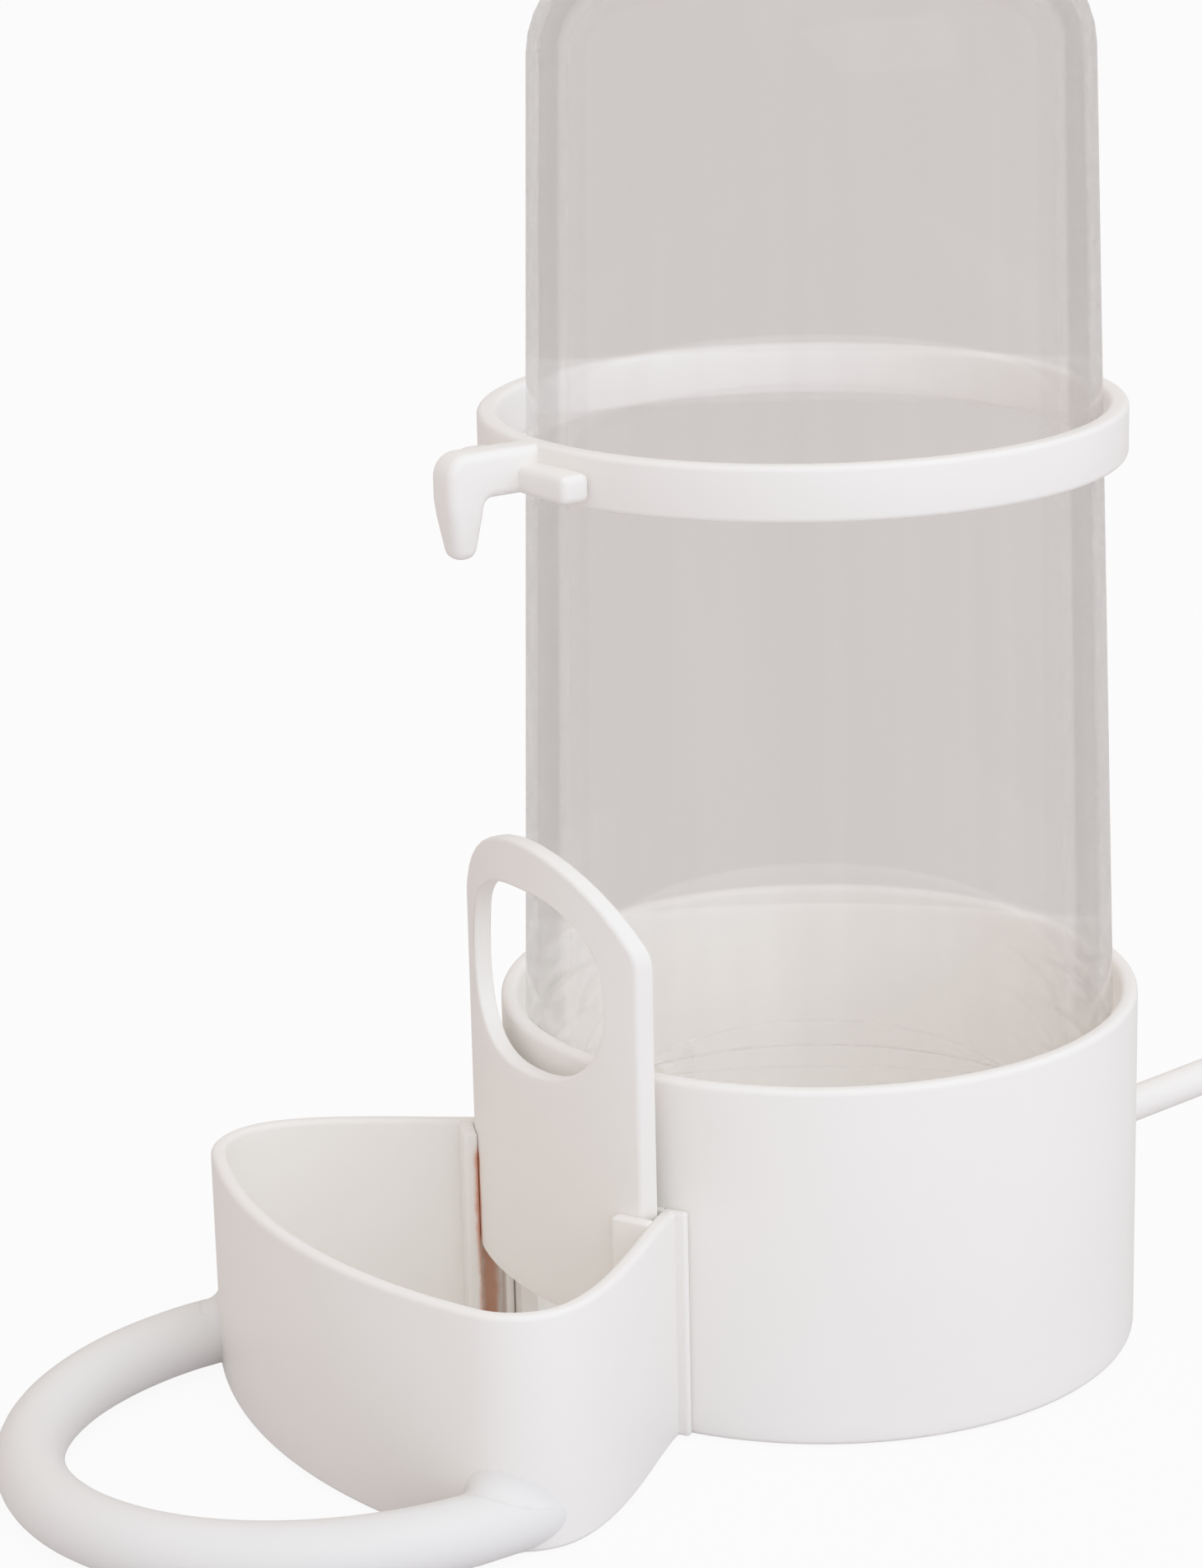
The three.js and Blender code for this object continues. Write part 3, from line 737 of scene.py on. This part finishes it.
def make_gate(material):
    """The curved gate with its finger hole."""
    outline = gate_outline(GATE_STEPS)
    hole_z = gate_high.z - HOLE_DROP - HOLE_HEIGHT / 2
    hole = [
        Vector((HOLE_WIDTH / 2 * bulge(point.x), 0, hole_z + HOLE_HEIGHT / 2 * bulge(point.y)))
        for point in arc((0, 0), 1, -90, 270, len(outline))[:-1]
    ]
    bm = bmesh.new()
    outer_edges = line(bm, outline, closed=True)[1]
    hole_edges = line(bm, hole, closed=True)[1]
    web = bmesh.ops.bridge_loops(bm, edges=outer_edges + hole_edges)
    bmesh.ops.subdivide_edges(bm, edges=web["edges"], cuts=GATE_CUTS, use_grid_fill=True)
    front = bmesh.ops.extrude_face_region(bm, geom=bm.faces[:])
    front_verts = {item for item in front["geom"] if isinstance(item, bmesh.types.BMVert)}
    for vert in bm.verts:
        radius = GATE_FRONT if vert in front_verts else GATE_BACK
        vert.co.y = -math.sqrt(radius ** 2 - vert.co.x ** 2)
    bmesh.ops.recalc_face_normals(bm, faces=bm.faces)
    soften(bm, crisp_edges(bm), GATE_EDGE)
    finish_piece(bm, "sliding_gate", "gate", "gate", material)


def perch_station(angle):
    """Place and turn of the perch's round section at an angle of its half oval."""
    half = PERCH_WIDTH / 2
    depth = PERCH_REACH - PERCH_ROOT
    place = Vector((half * math.cos(angle), -PERCH_ROOT - depth * math.sin(angle), PERCH_RADIUS))
    along = Vector((-half * math.sin(angle), -depth * math.cos(angle), 0))
    return Matrix.Translation(place) @ along.to_track_quat("Z", "Y").to_matrix().to_4x4()


def tail_point(side, angle, run):
    """A point of the bar's tail, by the angle round its section and the way past the half oval's end."""
    drift = PERCH_DRIFT * (max(0, run) / PERCH_TAIL) ** 3
    middle = PERCH_WIDTH / 2 * math.cos(math.radians(PERCH_TURN)) - drift
    return Vector((
        side * (middle + PERCH_RADIUS * math.cos(angle)),
        run - PERCH_ROOT,
        PERCH_RADIUS * (1 + math.sin(angle)),
    ))


def corner_point(side, turn, height):
    """A point just under the skin of the trough's round corner, by the angle from the front."""
    corner_x, corner_y = trough_corner()
    reach = TROUGH_CORNER - PERCH_SINK
    return Vector((side * (corner_x + reach * math.sin(turn)), corner_y - reach * math.cos(turn), height))


def tail_hit(angle, run):
    """How far a line of the tail runs to the trough's corner, and the angle from the front there."""
    corner_x, corner_y = trough_corner()
    far = PERCH_TAIL * PERCH_TAIL_SEARCH
    while far - run > MERGE_DISTANCE:
        middle = (run + far) / 2
        point = tail_point(1, angle, middle)
        if math.hypot(point.x - corner_x, point.y - corner_y) > TROUGH_CORNER - PERCH_SINK:
            run = middle
        else:
            far = middle
    return run, math.atan2(point.x - corner_x, corner_y - point.y)


def fillet_radius(angle):
    """Radius of the fillet between bar and trough, largest above and on the outer side of the bar."""
    upper = min(1, max(0, math.sin(angle) + PERCH_FILLET_DROP))
    outer = (1 + math.cos(angle)) / 2
    share = PERCH_INNER_FILLET + (1 - PERCH_INNER_FILLET) * outer
    return PERCH_FILLET * (PERCH_LEAST_FILLET + upper ** 2 * share)


def tail_fillet(side, angle, run):
    """The fillet at the end of a line of the tail: where it leaves the bar, and its curve to the trough."""
    run, turn = tail_hit(angle, run)
    bar_out = Vector((math.cos(angle), 0, math.sin(angle)))
    bar_round = Vector((-math.sin(angle), 0, math.cos(angle)))
    wall_out = Vector((math.sin(turn), -math.cos(turn), 0))
    wall_round = Vector((math.cos(turn), math.sin(turn), 0))
    meeting = bar_out.dot(wall_out)
    length = fillet_radius(angle) * math.tan(math.acos(meeting) / 2)
    off_wall = (wall_out - bar_out * meeting).normalized()
    off_bar = (bar_out - wall_out * meeting).normalized()
    leave_angle = angle + length * off_wall.dot(bar_round) / PERCH_RADIUS
    leave_run = run + length * off_wall.y
    land_turn = turn + length * off_bar.dot(wall_round) / (TROUGH_CORNER - PERCH_SINK)
    land_height = max(0, tail_point(1, angle, run).z + length * off_bar.z)
    corner = tail_point(side, angle, run)
    leave = tail_point(side, leave_angle, leave_run)
    land = corner_point(side, land_turn, land_height)
    leave_handle = leave.lerp(corner, PERCH_FILLET_PULL)
    land_handle = land.lerp(corner, PERCH_FILLET_PULL)
    curve = interpolate_bezier(leave, leave_handle, land_handle, land, PERCH_FILLET_STEPS + 1)
    return leave_angle, leave_run, curve


def perch_end(start, step):
    """Where a line of the bar lies at a step of its tail, which runs straight and then over the fillet."""
    side = math.copysign(1, start.x)
    middle = PERCH_WIDTH / 2 * math.cos(math.radians(PERCH_TURN))
    angle = math.atan2(start.z - PERCH_RADIUS, abs(start.x) - middle)
    run = start.y + PERCH_ROOT
    leave_angle, leave_run, curve = tail_fillet(side, angle, run)
    if step > PERCH_TAIL_STEPS:
        return curve[step - PERCH_TAIL_STEPS]
    share = step / PERCH_TAIL_STEPS
    return tail_point(side, angle + (leave_angle - angle) * share ** 2, run + (leave_run - run) * share)


def draw_ring(bm, edges, place):
    """Draws a ring of edges out to new places, and gives the new edges and vertices."""
    step = bmesh.ops.extrude_edge_only(bm, edges=edges)
    verts = [item for item in step["geom"] if isinstance(item, bmesh.types.BMVert)]
    for vert in verts:
        vert.co = place(vert)
    ring = set(verts)
    drawn = [item for item in step["geom"] if isinstance(item, bmesh.types.BMEdge)]
    return [edge for edge in drawn if ring.issuperset(edge.verts)], verts


def close_perch(bm, edges, starts):
    """Runs one end of the bar on to the trough's corner and closes it with upright faces."""
    for edge in edges:
        for vert in edge.verts:
            vert[starts] = vert.co
    for step in range(1, PERCH_TAIL_STEPS + PERCH_FILLET_STEPS + 1):
        edges, ring = draw_ring(bm, edges, lambda vert: perch_end(vert[starts], step))
    ring.sort(key=lambda vert: vert[starts].x)
    upper = [vert for vert in ring if vert[starts].z > PERCH_RADIUS - MERGE_DISTANCE]
    lower = [vert for vert in ring if vert[starts].z < PERCH_RADIUS + MERGE_DISTANCE]
    for i in range(len(upper) - 1):
        bm.faces.new(dict.fromkeys((upper[i], upper[i + 1], lower[i + 1], lower[i])))


def make_perch(material):
    """The half-oval bar, with both tails run on to the trough's corners."""
    first = math.radians(PERCH_TURN)
    turn = (math.pi - 2 * first) / PERCH_STEPS
    bm = bmesh.new()
    starts = bm.verts.layers.float_vector.new("start")
    bmesh.ops.create_circle(
        bm, cap_ends=False, radius=PERCH_RADIUS, segments=PERCH_SIDES, matrix=perch_station(first),
    )
    first_ring = bm.edges[:]
    edges = first_ring
    for i in range(PERCH_STEPS):
        move = perch_station(first + turn * (i + 1)) @ perch_station(first + turn * i).inverted()
        edges = draw_ring(bm, edges, lambda vert: move @ vert.co)[0]
    close_perch(bm, first_ring, starts)
    close_perch(bm, edges, starts)
    bm.verts.layers.float_vector.remove(starts)
    bmesh.ops.recalc_face_normals(bm, faces=bm.faces)
    finish_piece(bm, "perch_bar", "perch_loop", "base", material)


def bead(middle):
    """Corners of one bead round the neck, upwards."""
    crest = NECK_RADIUS + BEAD_HEIGHT
    return [
        (NECK_RADIUS, middle - BEAD_WIDTH / 2, BEAD_EDGE),
        (crest, middle - BEAD_CREST / 2, BEAD_EDGE),
        (crest, middle + BEAD_CREST / 2, BEAD_EDGE),
        (NECK_RADIUS, middle + BEAD_WIDTH / 2, BEAD_EDGE),
    ]


def reservoir_side(inset, beads):
    """Corners of the reservoir's side from the mouth up to the crown, moved inwards by an inset."""
    corners = [(NECK_RADIUS - inset, MOUTH_HEIGHT, MOUTH_EDGE)]
    for i in range(beads):
        corners += bead(STEP_HEIGHT - BEAD_PITCH * (beads - i - 0.5))
    corners += [
        (NECK_RADIUS - inset, STEP_HEIGHT - STEP_RISE, STEP_EDGE),
        (BODY_RADIUS - inset, STEP_HEIGHT, STEP_EDGE),
        (SHOULDER_RADIUS - inset, RESERVOIR_TOP - CROWN_RISE - inset, DOME_RADIUS - inset),
        ((TOP_RADIUS - DOME_RADIUS) / 2, RESERVOIR_TOP - inset, CROWN_EDGE),
        (0, RESERVOIR_TOP - inset, 0),
    ]
    return corners


def make_reservoir(material):
    """The clear reservoir, spun from one profile of its outside and inside."""
    outside = reservoir_side(0, BEAD_COUNT)
    inside = reservoir_side(RESERVOIR_WALL, 0)
    bm = bmesh.new()
    profile(bm, inside[::-1] + outside, steps=RESERVOIR_CORNER_STEPS)
    spin_round(bm)
    finish_piece(bm, "clear_reservoir", "reservoir", "reservoir", material)


def make_clip_ring(material):
    """The ring round the reservoir, with its hook."""
    inner = RING_OUTER - RING_WALL
    top = RING_BOTTOM + RING_HEIGHT
    bm = bmesh.new()
    profile(bm, [
        (inner, RING_BOTTOM, RING_EDGE),
        (RING_OUTER, RING_BOTTOM, RING_EDGE),
        (RING_OUTER, top, RING_EDGE),
        (inner, top, RING_EDGE),
    ], closed=True)
    spin_round(bm)
    bmesh.ops.translate(bm, vec=(0, -RING_SHIFT, 0), verts=bm.verts)
    join(bm, wire_hook())
    finish_piece(bm, "clip_ring_hook", "clip_ring", "clip", material)


def block(low, high):
    """A box between two corners."""
    bm = bmesh.new()
    bmesh.ops.create_cube(bm, size=1)
    size = Vector(high) - Vector(low)
    bmesh.ops.scale(bm, vec=size, verts=bm.verts)
    bmesh.ops.translate(bm, vec=Vector(low) + size / 2, verts=bm.verts)
    return bm


def wire_hook():
    """The T hook: crossbar, arm and peg, run into one another."""
    front = RING_OUTER + RING_SHIFT
    root = front - RING_WALL / 2
    bm = block((-BAR_HALF, -front - BAR_DEPTH, BAR_LOW), (BAR_HALF, -root, BAR_HIGH))
    soften(bm, bm.edges[:], BAR_EDGE, BAR_EDGE_STEPS)
    join(bm, hook_arm(root))
    return bm


def hook_outline(root):
    """The arm and its peg seen from the side, as (distance in front of the cup's axis, height)."""
    peg_in = HOOK_END - PEG_ROOT
    tip_in = HOOK_END - PEG_SLANT - PEG_TIP
    lean = math.degrees(math.atan2(tip_in - peg_in, ARM_LOW - PEG_FILLET - PEG_END))
    fillet = arc((peg_in - PEG_FILLET, ARM_LOW - PEG_FILLET), PEG_FILLET, 90, lean, PEG_FILLET_STEPS)
    nose = arc((HOOK_END - ARM_NOSE, ARM_HIGH - ARM_NOSE), ARM_NOSE, 0, 90, ARM_NOSE_STEPS)
    points = [(root, ARM_LOW)]
    points += [(point.x, point.y) for point in fillet]
    points += [(tip_in, PEG_END), (tip_in + PEG_TIP, PEG_END), (HOOK_END, ARM_LOW)]
    points += [(point.x, point.y) for point in nose]
    points += [(root, ARM_HIGH)]
    return points


def hook_arm(root):
    """The arm with its peg, which gets narrower towards the tip."""
    bm = bmesh.new()
    verts = line(bm, [(-HOOK_HALF, -y, z) for y, z in hook_outline(root)], closed=True)[0]
    sheet = bm.faces.new(verts)
    other = bmesh.ops.extrude_face_region(bm, geom=[sheet])
    moved = [item for item in other["geom"] if isinstance(item, bmesh.types.BMVert)]
    bmesh.ops.translate(bm, vec=(2 * HOOK_HALF, 0, 0), verts=moved)
    peg_top = ARM_LOW - PEG_TAPER_START * PEG_FILLET
    bmesh.ops.bisect_plane(
        bm, geom=bm.verts[:] + bm.edges[:] + bm.faces[:], plane_co=(0, 0, peg_top), plane_no=(0, 0, 1),
    )
    for vert in bm.verts:
        below = max(0, peg_top - vert.co.z) / (peg_top - PEG_END)
        vert.co.x *= 1 - (1 - PEG_TIP_SHARE) * below
    bmesh.ops.recalc_face_normals(bm, faces=bm.faces)
    soften(bm, crisp_edges(bm, HOOK_CRISP_ANGLE), HOOK_EDGE, HOOK_EDGE_STEPS)
    return bm


def make_camera():
    """The camera at the photograph's viewing angle."""
    camera = bpy.data.cameras.new("camera")
    camera.sensor_width = CAMERA_SENSOR
    camera.lens = CAMERA_LENS
    camera.clip_start = CAMERA_NEAR * MM
    holder = link_object("camera", camera)
    holder.matrix_world = (
        Matrix.Translation(Vector(CAMERA_PLACE) * MM)
        @ Matrix.Rotation(math.radians(CAMERA_HEADING), 4, "Z")
        @ Matrix.Rotation(math.radians(90 - CAMERA_TILT), 4, "X")
        @ Matrix.Rotation(math.radians(CAMERA_ROLL), 4, "Z")
    )
    bpy.context.scene.camera = holder


def add_backdrop(tree, shader, share):
    """Covers a share of the floor's or the room's look with the plain backdrop, in view and in glass."""
    path = add_node(tree, "ShaderNodeLightPath")
    glass = add_node(
        tree, "ShaderNodeMath", {"operation": "MAXIMUM"},
        {0: path.outputs["Is Glossy Ray"], 1: path.outputs["Is Transmission Ray"]},
    )
    seen = add_node(
        tree, "ShaderNodeMath", {"operation": "MAXIMUM"},
        {0: path.outputs["Is Camera Ray"], 1: glass.outputs[0]},
    )
    covered = add_node(tree, "ShaderNodeMath", {"operation": "MULTIPLY"}, {0: seen.outputs[0], 1: share})
    colour = add_node(
        tree, "ShaderNodeMix", {"data_type": "RGBA"},
        {
            "Factor": path.outputs["Is Camera Ray"],
            6: linear(BACKDROP_IN_GLASS), 7: linear(BACKDROP_WHITE),
        },
    )
    plain = add_node(tree, "ShaderNodeEmission", inputs={"Color": colour.outputs[2], "Strength": 1.0})
    return add_node(
        tree, "ShaderNodeMixShader",
        inputs={0: covered.outputs[0], 1: shader.outputs[0], 2: plain.outputs[0]},
    )


def make_floor():
    """A pale grey floor, which the camera sees as white with a faint shadow."""
    material, tree = new_material("pale_floor")
    matt = add_node(tree, "ShaderNodeBsdfDiffuse", inputs={"Color": linear(FLOOR_GREY)})
    surface = add_backdrop(tree, matt, FLOOR_PLAIN_SHARE)
    add_node(tree, "ShaderNodeOutputMaterial", inputs={"Surface": surface.outputs[0]})
    bm = bmesh.new()
    bmesh.ops.create_grid(bm, x_segments=1, y_segments=1, size=FLOOR_SIZE / 2 * MM)
    bmesh.ops.translate(bm, vec=(0, 0, -FLOOR_DROP * MM), verts=bm.verts)
    mesh = bpy.data.meshes.new("floor")
    bm.to_mesh(mesh)
    bm.free()
    mesh.materials.append(material)
    link_object("floor", mesh)


def make_world():
    """A plain room, brighter on the side of the lamp."""
    world = bpy.data.worlds.new("studio")
    world.use_nodes = True
    tree = world.node_tree
    tree.nodes.clear()
    way = add_node(tree, "ShaderNodeTexCoord").outputs["Generated"]
    facing = add_node(
        tree, "ShaderNodeVectorMath", {"operation": "DOT_PRODUCT"},
        {0: way, 1: Vector(ROOM_WAY).normalized()},
    )
    share = add_node(tree, "ShaderNodeMapRange", inputs={"Value": facing.outputs["Value"], "From Min": -1.0})
    tone = add_node(
        tree, "ShaderNodeMix", {"data_type": "RGBA"},
        {"Factor": share.outputs["Result"], 6: linear(ROOM_DARK), 7: linear(ROOM_BRIGHT)},
    )
    room = add_node(
        tree, "ShaderNodeBackground", inputs={"Color": tone.outputs[2], "Strength": ROOM_STRENGTH},
    )
    surface = add_backdrop(tree, room, 1.0)
    add_node(tree, "ShaderNodeOutputWorld", inputs={"Surface": surface.outputs[0]})
    bpy.context.scene.world = world


def make_lamp():
    """A square soft lamp that shows in no reflection."""
    lamp = bpy.data.lights.new("window_lamp", "AREA")
    lamp.size = LAMP_SIZE * MM
    lamp.energy = LAMP_POWER
    lamp.color = linear(LAMP_COLOUR)[:3]
    holder = link_object("window_lamp", lamp)
    turn = (Vector(LAMP_TARGET) - Vector(LAMP_PLACE)).to_track_quat("-Z", "Y")
    holder.matrix_world = Matrix.Translation(Vector(LAMP_PLACE) * MM) @ turn.to_matrix().to_4x4()
    holder.visible_glossy = False


make_camera()
make_floor()
make_world()
make_lamp()

white = polypropylene("white_polypropylene_moulded", WHITE_LIGHT, WHITE_DARK)
water_stained = polypropylene("white_polypropylene_water_stained", WHITE_LIGHT, WHITE_DARK, stained=True)
# the perch's darker copy of the white is painted shade for its brightly lit upward faces
perch_shaded_white = polypropylene("white_polypropylene_perch_painted_shade", PERCH_SHADED_WHITE_LIGHT, PERCH_SHADED_WHITE_DARK)
clear = clear_polystyrene()
make_cup(white)
make_trough(water_stained)
make_perch(perch_shaded_white)
make_gate(water_stained)
make_reservoir(clear)
make_clip_ring(white)

bpy.context.scene.view_settings.view_transform = "Standard"
bpy.context.scene.cycles.diffuse_bounces = DIFFUSE_BOUNCES
bpy.context.scene.cycles.max_bounces = MAX_BOUNCES
bpy.context.scene.cycles.transparent_max_bounces = CLEAR_BOUNCES
